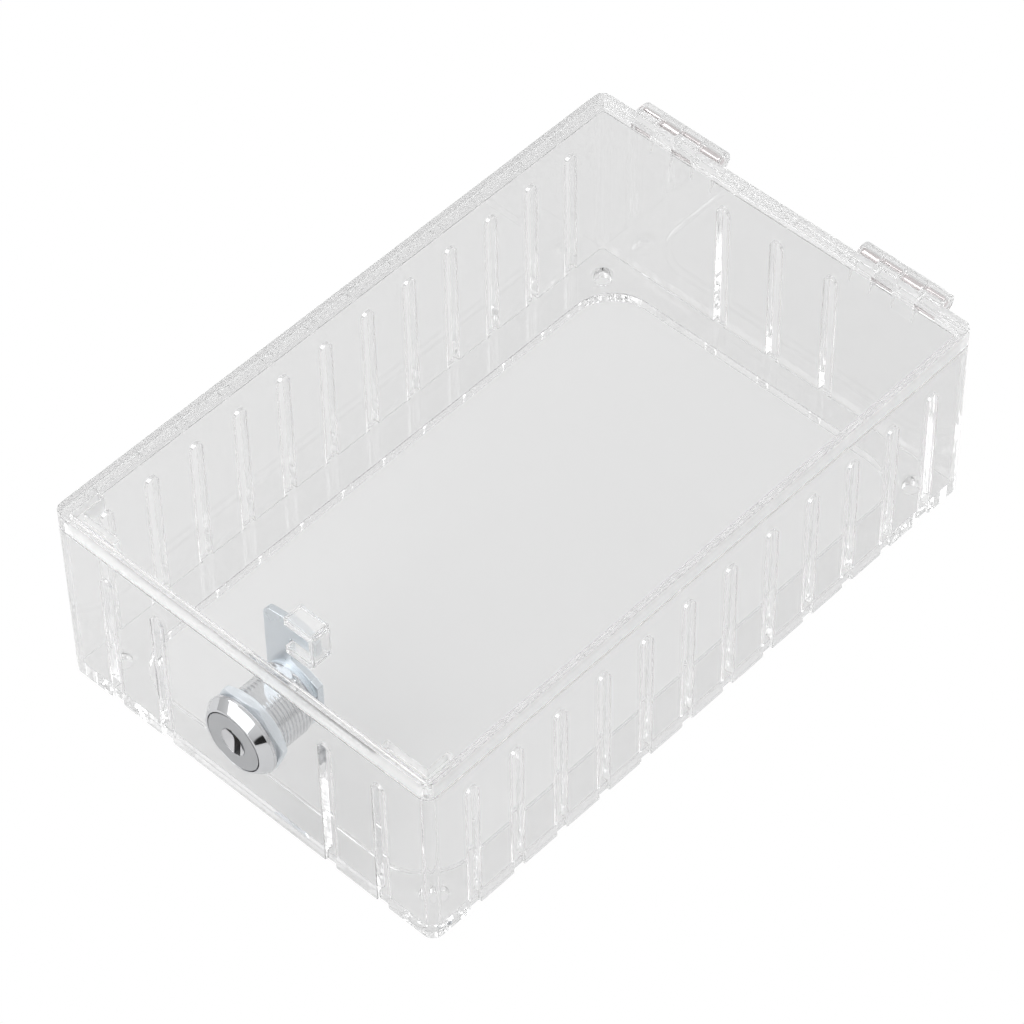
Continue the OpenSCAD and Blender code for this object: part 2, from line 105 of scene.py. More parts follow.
def linear(hex_code):
    """An sRGB hex code as linear red, green, blue and a full alpha, by the sRGB transfer curve."""
    srgb = np.array([int(hex_code[i:i + 2], 16) for i in (1, 3, 5)]) / 255
    light = np.where(srgb <= 0.04045, srgb / 12.92, ((srgb + 0.055) / 1.055) ** 2.4)
    return (*light.tolist(), 1.0)


def add_node(tree, kind, inputs=None, **settings):
    """Adds one node. Settings are its attributes. An input is a value, or the output socket that feeds it."""
    node = tree.nodes.new(kind)
    for name, value in settings.items():
        setattr(node, name, value)
    for name, value in (inputs or {}).items():
        if isinstance(value, bpy.types.NodeSocket):
            tree.links.new(value, node.inputs[name])
        else:
            node.inputs[name].default_value = value
    return node


def new_material(name):
    """An empty node material with its output node, ready for a recipe."""
    material = bpy.data.materials.new(name)
    material.use_nodes = True
    material.node_tree.nodes.clear()
    return material, material.node_tree, add_node(material.node_tree, "ShaderNodeOutputMaterial")


print("a mid grey, #808080, is", round(linear("#808080")[0], 3), "in linear light")

# %% [markdown]
# ## Floor and light
# The box stands on matte paper under a wide, soft light. Clear plastic shows only what it bends and
# mirrors, so the surroundings matter as much as the box: bright overhead, darker towards the horizon,
# which draws the walls and edges. The paper is a plain diffuse sheet. Round the box the lens sees it burnt
# out to white, as in a catalogue picture. Inside the box's walls, and through the plastic, it keeps its
# own pale grey, so the clear walls stand out against the white.

# %% Floor
FLOOR_HALF, FLOOR_DROP = 3.0, 0.0003
floor_mesh = bpy.data.meshes.new("floor")
floor_corners = np.array([[-1, -1, 0], [1, -1, 0], [1, 1, 0], [-1, 1, 0]]) * FLOOR_HALF - [0, 0, FLOOR_DROP]
floor_mesh.from_pydata(floor_corners.tolist(), [], [(0, 1, 2, 3)])
floor = bpy.data.objects.new("floor", floor_mesh)
bpy.context.scene.collection.objects.link(floor)

paper, tree, output = new_material("matte_paper")
PAPER = linear("#DEDEDE")
INNER_HALF = ((body_high[0] - WALL_T) * MM, (-WALL_FACE - WALL_T) * MM, 0)
sheet = add_node(tree, "ShaderNodeBsdfDiffuse", {"Color": PAPER})
burnt_out = add_node(tree, "ShaderNodeEmission", {"Color": (1, 1, 1, 1), "Strength": 1.0})
where = add_node(tree, "ShaderNodeTexCoord").outputs["Object"]
apart = add_node(tree, "ShaderNodeVectorMath", {0: where}, operation="ABSOLUTE").outputs[0]
beyond = add_node(tree, "ShaderNodeVectorMath", {0: apart, 1: INNER_HALF}, operation="SUBTRACT").outputs[0]
sides = add_node(tree, "ShaderNodeSeparateXYZ", {0: beyond})
furthest = add_node(tree, "ShaderNodeMath", {0: sides.outputs["X"], 1: sides.outputs["Y"]},
                    operation="MAXIMUM").outputs[0]
outside = add_node(tree, "ShaderNodeMath", {0: furthest, 1: 0.0}, operation="GREATER_THAN")
rays = add_node(tree, "ShaderNodeLightPath")
bare = add_node(tree, "ShaderNodeMath", {0: outside.outputs[0], 1: rays.outputs["Is Camera Ray"]},
                operation="MULTIPLY")
choice = add_node(tree, "ShaderNodeMixShader",
                  {0: bare.outputs[0], 1: sheet.outputs[0], 2: burnt_out.outputs[0]})
tree.links.new(choice.outputs[0], output.inputs["Surface"])
floor_mesh.materials.append(paper)
print("floor of matte paper,", 2 * FLOOR_HALF, "m wide")

# %% Surroundings
world = bpy.data.worlds.new("studio")
world.use_nodes = True
tree = world.node_tree
tree.nodes.clear()
direction = add_node(tree, "ShaderNodeTexCoord").outputs["Generated"]
height = add_node(tree, "ShaderNodeSeparateXYZ", {0: direction}).outputs["Z"]
ramp = add_node(tree, "ShaderNodeValToRGB", {0: height})
SKY_STEPS = ((0.0, 0.76), (0.2, 0.78), (0.45, 0.95), (1.0, 1.02))
while len(ramp.color_ramp.elements) < len(SKY_STEPS):
    ramp.color_ramp.elements.new(0.5)
for element, (place, light) in zip(ramp.color_ramp.elements, SKY_STEPS):
    element.position = place
    element.color = (light, light, light, 1)
DARK_CARDS = (((0.74, -0.66, 0.12), 0.980, 0.990),)
sky = ramp.outputs[0]
for card, outer, inner in DARK_CARDS:
    toward = add_node(tree, "ShaderNodeVectorMath", {0: direction, 1: tuple(Vector(card).normalized())},
                      operation="DOT_PRODUCT")
    shade = add_node(tree, "ShaderNodeMapRange", {"Value": toward.outputs["Value"], "From Min": outer,
                                                  "From Max": inner, "To Min": 1.0, "To Max": 0.04})
    shaded = add_node(tree, "ShaderNodeVectorMath", {0: sky, 1: shade.outputs[0]}, operation="MULTIPLY")
    sky = shaded.outputs[0]
studio = add_node(tree, "ShaderNodeBackground", {"Color": sky, "Strength": 0.80})
backdrop = add_node(tree, "ShaderNodeBackground", {"Color": linear("#F4F4F4"), "Strength": 1.0})
rays = add_node(tree, "ShaderNodeLightPath")
choice = add_node(tree, "ShaderNodeMixShader",
                  {0: rays.outputs["Is Camera Ray"], 1: studio.outputs[0], 2: backdrop.outputs[0]})
add_node(tree, "ShaderNodeOutputWorld", {"Surface": choice.outputs[0]})
bpy.context.scene.world = world
print("surroundings in", len(SKY_STEPS), "steps from horizon to zenith, with", len(DARK_CARDS), "dark cards")

# %% Softboxes


def softbox(name, place, size, watts):
    """A square area light at a place in metres, turned to face the box."""
    data = bpy.data.lights.new(name, "AREA")
    data.size = size
    data.energy = watts
    lamp = bpy.data.objects.new(name, data)
    lamp.location = place
    lamp.rotation_euler = (Vector((0, 0, 0.03)) - Vector(place)).to_track_quat("-Z", "Y").to_euler()
    bpy.context.scene.collection.objects.link(lamp)


softbox("softbox_left", (-0.9, -0.2, 0.9), 0.6, 3.0)
softbox("softbox_back", (0.2, 1.1, 0.8), 0.5, 2.5)
softbox("softbox_front", (-0.05, -0.98, 0.70), 1.0, 4.2)
softbox("softbox_side", (-0.66, -0.76, 0.82), 0.6, 1.4)
bpy.context.scene.view_settings.view_transform = "Standard"
cycles = bpy.context.scene.cycles
cycles.use_denoising = True
cycles.max_bounces = 40
cycles.transmission_bounces = 40
cycles.transparent_max_bounces = 40
cycles.glossy_bounces = 40
print("light bounces:", cycles.max_bounces)

# %% [markdown]
# ## Clear moulded plastic
# The box, the lid and the block under it are clear acrylic (PMMA), injection moulded in polished
# moulds. Its IOR is 1.49 and its skin is glossy. The melt leaves a very faint waviness a centimetre or
# two wide, which makes reflections swim a little, and there is a trace of grey in the mass.
# Path tracing finds the light that a lamp sends through bent glass only by luck. So for shadow rays and
# for light bouncing off matte things the material is a plain tinted film, which keeps the floor under
# the box evenly lit, as it is in a soft studio.

# %% Clear plastic recipe


def clear_acrylic(name, tint, film, ripple_mm, roughness=0.015, milk=0.0):
    """Clear acrylic: tint is what one wall passes, film what a shadow ray keeps, ripple_mm the wave's width,
    and milk the share of light that a ground skin scatters instead of passing."""
    material, tree, output = new_material(name)
    where = add_node(tree, "ShaderNodeTexCoord").outputs["Object"]
    wave = add_node(tree, "ShaderNodeTexNoise", {"Vector": where, "Scale": 1 / (ripple_mm * MM),
                                                 "Detail": 1.0, "Roughness": 0.4})
    skin = add_node(tree, "ShaderNodeBump", {"Height": wave.outputs["Fac"], "Strength": 0.12,
                                             "Distance": 0.02 * MM})
    plastic = add_node(tree, "ShaderNodeBsdfPrincipled",
                       {"Base Color": linear(tint), "Roughness": roughness, "IOR": 1.49,
                        "Transmission Weight": 1.0 - milk, "Normal": skin.outputs["Normal"]})
    thin = add_node(tree, "ShaderNodeBsdfTransparent", {"Color": linear(film)})
    rays = add_node(tree, "ShaderNodeLightPath")
    soft = add_node(tree, "ShaderNodeMath",
                    {0: rays.outputs["Is Shadow Ray"], 1: rays.outputs["Is Diffuse Ray"]},
                    operation="MAXIMUM")
    choice = add_node(tree, "ShaderNodeMixShader",
                      {0: soft.outputs[0], 1: plastic.outputs[0], 2: thin.outputs[0]})
    tree.links.new(choice.outputs[0], output.inputs["Surface"])
    return material


acrylic_box = clear_acrylic("clear_acrylic_box", "#F9F9F9", "#FEFEFE", 14)
acrylic_lid = clear_acrylic("clear_acrylic_lid", "#FBFBFB", "#FBFBFB", 18)
acrylic_edge = clear_acrylic("clear_acrylic_edge", "#FDFDFD", "#FBFBFB", 18, roughness=0.35, milk=0.17)
acrylic_block = clear_acrylic("clear_acrylic_block", "#FBFBFB", "#FBFBFB", 18, roughness=0.05, milk=0.24)
print("clear plastics:", acrylic_box.name, acrylic_lid.name, acrylic_edge.name, acrylic_block.name)

# %% [markdown]
# ## Metals
# Chrome plate on a die-cast lock is a near mirror with a cool cast. The plug's face is satin turned
# zinc: fine rings round the axis, a third of a millimetre apart, blur reflections into a soft grey, and
# the dish that leads the key in is polished. Zinc plate on the nut and the cam is paler and bluish, a
# little cloudy. Wafers are blanked from brass, springs and pins are drawn steel wire. Each is a metal
# with a clean colour, a typical roughness, cloudiness in the roughness and a little relief.

# %% Metal recipe
# A wave texture at scale 1 repeats about every 0.31 units.
WAVE_LENGTH = 0.31


def metal(name, colour, roughness, cloud_mm, cloud, grain_mm=(0.3, 0.3, 0.3), relief_mm=0.003, turned=None):
    """A metal: a colour, a roughness that drifts by cloud over cloud_mm, and a relief of relief_mm in grains
    grain_mm wide along X, Y and Z. With turned, the grain is rings that far apart round the lock's axis."""
    material, tree, output = new_material(name)
    where = add_node(tree, "ShaderNodeTexCoord").outputs["Object"]
    drift = add_node(tree, "ShaderNodeTexNoise",
                     {"Vector": where, "Scale": 1 / (cloud_mm * MM), "Detail": 2.0})
    rough = add_node(tree, "ShaderNodeMapRange",
                     {"Value": drift.outputs["Fac"], "From Min": 0.25, "From Max": 0.75,
                      "To Min": roughness - cloud, "To Max": roughness + cloud})
    if turned:
        centred = add_node(tree, "ShaderNodeMapping", {"Vector": where, "Location": tuple(-LOCK_AXIS * MM)},
                           vector_type="POINT")
        grain = add_node(tree, "ShaderNodeTexWave",
                         {"Vector": centred.outputs[0], "Scale": WAVE_LENGTH / (turned * MM),
                          "Distortion": 1.2, "Detail": 2.0, "Detail Scale": 3.0},
                         wave_type="RINGS", rings_direction="Y")
    else:
        stretched = add_node(tree, "ShaderNodeMapping", {"Vector": where,
                                                         "Scale": tuple(1 / (np.array(grain_mm) * MM))})
        grain = add_node(tree, "ShaderNodeTexNoise",
                         {"Vector": stretched.outputs[0], "Scale": 1.0, "Detail": 3.0})
    relief = add_node(tree, "ShaderNodeBump", {"Height": grain.outputs["Fac"], "Strength": 0.5,
                                               "Distance": relief_mm * MM})
    shader = add_node(tree, "ShaderNodeBsdfPrincipled",
                      {"Base Color": linear(colour), "Metallic": 1.0, "Roughness": rough.outputs[0],
                       "Normal": relief.outputs["Normal"]})
    tree.links.new(shader.outputs[0], output.inputs["Surface"])
    return material


chrome = metal("polished_chrome_plate", "#DADBDD", 0.06, 6, 0.02, relief_mm=0.0004)
satin_zinc = metal("satin_turned_zinc", "#BCBDBF", 0.36, 5, 0.05, relief_mm=0.004, turned=0.35)
zinc_nut = metal("bright_zinc_plate", "#F3F9FE", 0.42, 4, 0.05, grain_mm=(0.5, 0.5, 0.5), relief_mm=0.001)
zinc_cam = metal("blanked_zinc_plate", "#DDE3E8", 0.30, 7, 0.05, grain_mm=(0.25, 1.0, 2.5), relief_mm=0.001)
brass = metal("blanked_brass", "#C9A95E", 0.30, 3, 0.05)
spring_steel = metal("spring_steel_wire", "#A9ABAF", 0.28, 2, 0.04)
pin_steel = metal("drawn_pin_steel", "#E6E0E0", 0.12, 3, 0.04, grain_mm=(3.0, 0.2, 0.2), relief_mm=0.001)
dish_zinc = metal("polished_dish_zinc", "#DCDCDE", 0.14, 3, 0.04, relief_mm=0.0008)
print("metals:", ", ".join(m.name for m in (chrome, satin_zinc, dish_zinc, zinc_nut, zinc_cam, brass,
                                               spring_steel, pin_steel)))

# %% [markdown]
# ## Clear mouldings with soft edges
# A moulded wall never ends in a knife edge: the tool leaves about a quarter of a millimetre of radius,
# and on clear plastic that radius is what one sees, as a bright thin line. The shapes are right in the
# design model already, and a grid surface can't hold two dozen slots, so a copy of each is merged into one
# skin, its flat faces joined, and a Bevel modifier rounds every sharp edge.

# %% True normals


def true_normals(mesh, flat_mm2, blend_angle=33):
    """Sets each face corner's normal by hand. A face in a flat area of flat_mm2 or more keeps its own normal.
    Any other corner takes the mean of the normals round its point that lie within blend_angle of its
    own, each weighed by how large a flat area it belongs to, so curves run into flats without a seam."""
    count = len(mesh.polygons)
    normal, centre = np.empty(count * 3), np.empty(count * 3)
    area, corners = np.empty(count), np.empty(count, int)
    mesh.polygons.foreach_get("normal", normal)
    mesh.polygons.foreach_get("center", centre)
    mesh.polygons.foreach_get("area", area)
    mesh.polygons.foreach_get("loop_total", corners)
    normal, centre = normal.reshape(-1, 3), centre.reshape(-1, 3)
    plane = np.column_stack([np.round(normal * 400), np.round((normal * centre).sum(axis=1) / (0.01 * MM))])
    group = np.unique(plane, axis=0, return_inverse=True)[1].ravel()
    flat = np.bincount(group, weights=area)[group] / MM ** 2
    point = np.empty(len(mesh.loops), int)
    mesh.loops.foreach_get("vertex_index", point)
    face = np.repeat(np.arange(count), corners)
    order = np.argsort(point, kind="stable")
    at, own = point[order], face[order]
    total = normal[own] * flat[own][:, None]
    for step in range(1, int(np.bincount(point).max())):
        first, second = own[:-step], own[step:]
        near = (at[:-step] == at[step:]) & ((normal[first] * normal[second]).sum(axis=1)
                                            > np.cos(np.radians(blend_angle)))
        total[:-step][near] += normal[second[near]] * flat[second[near]][:, None]
        total[step:][near] += normal[first[near]] * flat[first[near]][:, None]
    total /= np.linalg.norm(total, axis=1, keepdims=True)
    is_flat = flat[own] >= flat_mm2
    total[is_flat] = normal[own[is_flat]]
    result = np.empty_like(total)
    result[order] = total
    mesh.normals_split_custom_set(result.tolist())


# %% Rounded copies
BOND_GAP, MERGE_MM, FLAT_DEGREES, SHARP_DEGREES = 0.02, 0.002, 0.6, 32


def rounded_copy(name, node, radius_mm, material, body, flat_mm2=45.0, triangles=False,
                 lower_bond=None):
    """A copy of a design part as one merged skin with its sharp edges rounded by radius_mm. With triangles,
    faces are cut up before the rounding, which a face with holes needs. Points at the height lower_bond
    go down by BOND_GAP, so that a glued face doesn't lie in the face that it is glued to."""
    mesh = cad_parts[node].data.copy()
    mesh.name = name
    skin = bmesh.new()
    skin.from_mesh(mesh)
    bmesh.ops.remove_doubles(skin, verts=skin.verts, dist=MERGE_MM * MM)
    bmesh.ops.dissolve_limit(skin, angle_limit=np.radians(FLAT_DEGREES), verts=skin.verts, edges=skin.edges)
    if triangles:
        bmesh.ops.triangulate(skin, faces=skin.faces)
    if lower_bond is not None:
        for vertex in skin.verts:
            if abs(vertex.co.z - lower_bond * MM) < 2e-5:
                vertex.co.z -= BOND_GAP * MM
    bmesh.ops.recalc_face_normals(skin, faces=skin.faces)
    open_edges = sum(1 for edge in skin.edges if len(edge.link_faces) != 2)
    skin.to_mesh(mesh)
    skin.free()
    mesh.materials.clear()
    mesh.materials.append(material)
    piece = bpy.data.objects.new(name, mesh)
    bpy.context.scene.collection.objects.link(piece)
    bevel = piece.modifiers.new("moulded_edges", "BEVEL")
    bevel.width = radius_mm * MM
    bevel.segments = 3
    bevel.limit_method = "ANGLE"
    bevel.angle_limit = np.radians(SHARP_DEGREES)
    bevel.use_clamp_overlap = False
    rounded = bpy.data.meshes.new_from_object(piece.evaluated_get(bpy.context.evaluated_depsgraph_get()))
    piece.modifiers.clear()
    piece.data = rounded
    rounded.name = name
    true_normals(rounded, flat_mm2)
    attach(piece, body)
    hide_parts(node)
    print(name, "from", node, "-", len(rounded.polygons), "faces,", open_edges, "open edges")
    return piece


LID_T = 3.0
box_shell = rounded_copy("box_shell", "box_body", 0.28, acrylic_box, "box")
lid_panel = rounded_copy("lid_panel", "lid", 0.18, acrylic_lid, "lid", triangles=True)
catch_block = rounded_copy("catch_block", "lid_catch", 0.25, acrylic_block, "lid",
                           lower_bond=float(lid_high[2] - LID_T))

# %% [markdown]
# The lid's outer edge, the box's rim and the lid's two lugs are duller than the large faces, and the light
# that runs inside the plate comes out there, so they glow as pale even bands. Those faces get a clear
# plastic with a rougher, slightly milky skin. They are found by where they lie and which way they look.

# %% Glowing lid edge


def paint_faces(piece, material, chosen):
    """Gives the faces for which chosen(centres, normals) is true a second material of the piece."""
    mesh = piece.data
    centre, normal = np.empty(len(mesh.polygons) * 3), np.empty(len(mesh.polygons) * 3)
    mesh.polygons.foreach_get("center", centre)
    mesh.polygons.foreach_get("normal", normal)
    mask = chosen(centre.reshape(-1, 3) / MM, normal.reshape(-1, 3))
    mesh.materials.append(material)
    mesh.polygons.foreach_set("material_index", np.where(mask, len(mesh.materials) - 1, 0).astype(np.int32))
    print(piece.name, "has", int(mask.sum()), "faces of", material.name)


def on_lid_edge(centre, normal):
    """True within a third of a millimetre of the lid's outline, for faces that don't look straight up or
    down, and on the two lugs that hang under the lid's front corners."""
    outside = np.maximum(np.abs(centre[:, 0]) - lid_high[0], np.abs(centre[:, 1]) + WALL_FACE)
    edge = (outside > -0.33) & (outside < 0.05) & (np.abs(normal[:, 2]) < 0.9)
    lug = ((outside < -WALL_T - 0.2) & (centre[:, 1] < WALL_FACE + 20)
           & (centre[:, 2] < lid_high[2] - LID_T - 0.05))
    return edge | lug


def on_rim(centre, normal):
    """True on the top of the box's walls, just under the lid."""
    return (np.abs(centre[:, 2] - lid_low[2]) < 0.6) & (normal[:, 2] > 0.5)


def slanted(centre, normal):
    """True where a face looks along none of the axes: the rounded edges of a block."""
    return np.abs(normal).max(axis=1) < 0.98


paint_faces(lid_panel, acrylic_edge, on_lid_edge)
paint_faces(box_shell, acrylic_edge, on_rim)
paint_faces(catch_block, acrylic_edge, slanted)

# %% [markdown]
# The cam is blanked from sheet and its edges are tumbled, the plug is die cast with a slot for every
# wafer, and the cam's screw has a cross recess. Their outlines have inside corners and holes, which
# one grid can't follow, so they are made the same way with smaller radii.

# %% Rounded metal copies
plug = rounded_copy("lock_plug_satin", "lock_plug", 0.10, satin_zinc, "plug", flat_mm2=6.0)
rounded_copy("hook_cam", "cam", 0.18, zinc_cam, "plug", flat_mm2=6.0)
DISH_R = 3.6


def in_dish(centre, normal):
    """True on the slanting faces round the keyway that lead the key in."""
    off_axis = np.hypot(centre[:, 0] - LOCK_AXIS[0], centre[:, 2] - LOCK_AXIS[2])
    return (off_axis < DISH_R) & (centre[:, 1] < WALL_FACE) & (normal[:, 1] < -0.6) & (normal[:, 1] > -0.985)


paint_faces(plug, dish_zinc, in_dish)
rounded_copy("cross_screw", "cam_screw", 0.10, zinc_nut, "plug", flat_mm2=6.0)

# %% [markdown]
# ## Turned parts
# The lock's head, the barrel, the nut, washers and pins are round. Each is a profile, a line of points
# at a radius and a distance along the axis, swept round that axis. As a grid: one row for each profile
# point, one column for each angle. Small arcs in the profile's corners give real edge radii.

# %% Grid helpers


def soften(profile, radius, steps=4):
    """Rounds the corners of a closed profile. Each corner becomes points on the curve
    (1 - t)^2 start + 2 t (1 - t) corner + t^2 end, where start and end lie radius before and after it."""
    corners = np.array(profile, dtype=float)
    before, after = np.roll(corners, 1, axis=0), np.roll(corners, -1, axis=0)
    back, ahead = before - corners, after - corners
    back_l = np.linalg.norm(back, axis=1, keepdims=True)
    ahead_l = np.linalg.norm(ahead, axis=1, keepdims=True)
    start = corners + back / back_l * np.minimum(radius, back_l * 0.45)
    end = corners + ahead / ahead_l * np.minimum(radius, ahead_l * 0.45)
    t = np.linspace(0, 1, steps + 1)[None, :, None]
    curve = (1 - t) ** 2 * start[:, None] + 2 * t * (1 - t) * corners[:, None] + t ** 2 * end[:, None]
    return curve.reshape(-1, 2)


def lock_place(x, up, out):
    """Puts points of the lock's own frame into the box's frame: out is the distance in front of the wall."""
    return np.stack([LOCK_AXIS[0] + x, LOCK_AXIS[1] - out, LOCK_AXIS[2] + up], axis=-1) * MM


def grid_piece(name, grid, material, body, rows_close=False, smooth_angle=35):
    """Makes a mesh of a grid of points (rows, columns, 3): every cell is one four-sided face. Columns close
    on themselves, rows too if asked. Points that meet, at a seam or a pole, are merged."""
    rows, columns = grid.shape[:2]
    r = np.arange(rows if rows_close else rows - 1)[:, None]
    c = np.arange(columns)[None, :]
    ahead, beside = (r + 1) % rows, (c + 1) % columns
    here, there = r * columns, ahead * columns
    cells = np.stack([here + c, here + beside, there + beside, there + c], axis=-1)
    mesh = bpy.data.meshes.new(name)
    mesh.from_pydata(grid.reshape(-1, 3).tolist(), [], cells.reshape(-1, 4).tolist())
    skin = bmesh.new()
    skin.from_mesh(mesh)
    bmesh.ops.remove_doubles(skin, verts=skin.verts, dist=1e-6)
    bmesh.ops.recalc_face_normals(skin, faces=skin.faces)
    open_edges = sum(1 for edge in skin.edges if len(edge.link_faces) != 2)
    skin.to_mesh(mesh)
    skin.free()
    mesh.polygons.foreach_set("use_smooth", np.ones(len(mesh.polygons), dtype=bool))
    mesh.set_sharp_from_angle(angle=np.radians(smooth_angle))
    mesh.materials.append(material)
    piece = bpy.data.objects.new(name, mesh)
    bpy.context.scene.collection.objects.link(piece)
    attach(piece, body)
    print(name, "-", len(mesh.polygons), "faces,", open_edges, "open edges")
    return piece


def to_line(half, ratio):
    """The radius at which a ray from the axis meets a straight edge half away: half / |ratio|, where
    ratio is the sine or cosine of the ray's angle to the edge. It stays finite beside the edge."""
    return half / np.maximum(np.abs(ratio), 1e-6)


def turned_grid(profile, columns=128):
    """Sweeps a profile of (radius, out) round the lock's axis: x = r cos a, up = r sin a."""
    profile = np.array(profile, dtype=float)
    angle = np.linspace(0, 2 * np.pi, columns, endpoint=False)[None, :]
    radius, out = profile[:, :1], profile[:, 1:]
    return lock_place(radius * np.cos(angle), radius * np.sin(angle), out + 0 * angle)


# %% [markdown]
# ## Lock head
# The head is die-cast zinc, polished and chromed: a short straight edge at the wall, a wide bevel, a
# narrow flat ring, and a round recess in which the plug's face turns.

# %% Lock head
HEAD_R, HEAD_EDGE, HEAD_FRONT_R, HEAD_OUT = 10.4, 1.0, 8.6, 3.4
RECESS_R, RECESS_FLOOR, BORE_R = 8.05, 1.7, 6.25
head_profile = [(BORE_R, 0.02), (HEAD_R, 0.02), (HEAD_R, HEAD_EDGE), (HEAD_FRONT_R, HEAD_OUT),
                (RECESS_R, HEAD_OUT), (RECESS_R, RECESS_FLOOR), (BORE_R, RECESS_FLOOR)]
lock_head = grid_piece("lock_head", turned_grid(soften(head_profile, 0.22)), chrome, "box",
                       rows_close=True)

# %% [markdown]
# ## Threaded barrel
# A screw thread is a radius that depends on angle and distance together: one turn round moves the
# crest one pitch along. Two flats cut the round down where the wall's hole has flats, so the lock can't
# turn in it. The grid takes the smaller of the thread's radius and the flat's distance from the axis,
# which a modelled cut would only approximate with stray faces. Inside, the bore has two grooves that
# the wafers enter when there is no key.

# %% Threaded barrel
BARREL_R, PITCH, THREAD_DEPTH, FLAT_HALF, BARREL_END = 8.4, 1.0, 0.45, 7.6, -14.6
TOOTH_STEEP, PLAIN_NECK, END_TAPER, END_DEPTH = 2.2, 1.2, 0.6, 1.6
GROOVE_HALF_W, GROOVE_REACH, KEY_TILT = 3.2, 6.85, np.radians(17)
angle = np.linspace(0, 2 * np.pi, 144, endpoint=False)[None, :]
run = np.linspace(-0.02, BARREL_END, 176)[:, None]
turn = (run / PITCH + angle / (2 * np.pi)) % 1.0
tooth = np.clip(TOOTH_STEEP * (np.abs(2 * turn - 1) - 0.5) + 0.5, 0, 1)
thread_in = np.clip(-run - PLAIN_NECK, 0, 1) * np.where(run < BARREL_END + 0.5, END_DEPTH, 1.0)
end_taper = np.clip((BARREL_END + END_TAPER - run) / END_TAPER, 0, 1)
thread_r = BARREL_R - THREAD_DEPTH * np.minimum(tooth * thread_in + end_taper, END_DEPTH)
flat_r = to_line(FLAT_HALF, np.sin(angle))
outer_r = np.minimum(thread_r, flat_r)
key_angle = angle - KEY_TILT
groove_r = np.minimum(to_line(GROOVE_REACH, np.sin(key_angle)), to_line(GROOVE_HALF_W, np.cos(key_angle)))
bore_r = np.maximum(BORE_R, groove_r)
inner_run = np.array([[BARREL_END], [-7.0], [-0.02]])
barrel_r = np.concatenate([outer_r, bore_r + 0 * inner_run])
barrel_run = np.concatenate([run, inner_run])
barrel_grid = lock_place(barrel_r * np.cos(angle), barrel_r * np.sin(angle), barrel_run + 0 * angle)
grid_piece("lock_barrel", barrel_grid, chrome, "box", rows_close=True)

# %% [markdown]
# The barrel's end carries a raised arc, a stop that lets the plug turn a quarter and no more. It is a
# rectangle carried along an arc: rows go along the arc and columns round the rectangle. The first and
# the last row are one point each, in the middle of their end, which closes the ends.

# %% Turning stop
STOP_IN, STOP_OUT, STOP_MID, STOP_WIDE, STOP_T = 6.8, 7.95, 315, 135, 0.8
arc = np.radians(STOP_MID + np.linspace(-STOP_WIDE / 2, STOP_WIDE / 2, 40))[:, None]
section = soften([(STOP_IN, BARREL_END - STOP_T), (STOP_OUT, BARREL_END - STOP_T),
                  (STOP_OUT, BARREL_END + 0.1), (STOP_IN, BARREL_END + 0.1)], 0.1, steps=2)
section_r = np.minimum(section[None, :, 0], to_line(FLAT_HALF, np.sin(arc)))
stop_grid = lock_place(section_r * np.cos(arc), section_r * np.sin(arc), section[None, :, 1] + 0 * arc)
stop_caps = [np.repeat(end.mean(axis=0, keepdims=True), stop_grid.shape[1], axis=0)[None]
             for end in (stop_grid[0], stop_grid[-1])]
stop_grid = np.concatenate([stop_caps[0], stop_grid, stop_caps[1]])
grid_piece("barrel_stop", stop_grid, chrome, "box")
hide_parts("lock_housing")

# %% [markdown]
# ## Hexagon nut
# The nut is sliced from hexagon bar and its corners are turned down by a cone, which leaves a curved
# edge on each flat. The radius at an angle is the smaller of the hexagon's and the cone's.

# %% Hexagon nut
NUT_HALF_AF, NUT_TURN, NUT_BORE = 9.8, np.radians(8), 8.3
NUT_FRONT, NUT_BACK, BORE_EASE, NUT_CORNER = -2.52, -4.9, 0.3, 1.135
CHAMFER_START, CHAMFER_REACH, CHAMFER_BACK, CHAMFER_FRONT = 0.1, 1.9, 1.1, 0.55
angle = np.linspace(0, 2 * np.pi, 180, endpoint=False)[None, :]
to_flat = (angle - NUT_TURN) % (np.pi / 3) - np.pi / 6
hexagon_r = np.minimum(NUT_HALF_AF / np.cos(to_flat), NUT_HALF_AF * NUT_CORNER)
run = np.linspace(NUT_BACK, NUT_FRONT, 26)[:, None]
chamfer_in = np.minimum((run - NUT_BACK) / CHAMFER_BACK, (NUT_FRONT - run) / CHAMFER_FRONT)
chamfer_r = NUT_HALF_AF + CHAMFER_START + CHAMFER_REACH * chamfer_in
nut_r = np.minimum(hexagon_r, chamfer_r)
rim_in = np.full_like(run[:2] * angle, NUT_BORE)
nut_r = np.concatenate([rim_in[:1] + BORE_EASE, nut_r, rim_in[:1] + BORE_EASE, rim_in])
nut_run = np.concatenate([[[NUT_BACK]], run, [[NUT_FRONT], [NUT_FRONT - BORE_EASE], [NUT_BACK + BORE_EASE]]])
nut_grid = lock_place(nut_r * np.cos(angle), nut_r * np.sin(angle), nut_run + 0 * angle)
hexagon_nut = grid_piece("hexagon_nut", nut_grid, zinc_nut, "box", rows_close=True)
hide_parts("lock_nut")

# %% [markdown]
# ## Cam washer
# A plain washer under the cam's screw: a small rectangle with rounded corners turned round the axis.

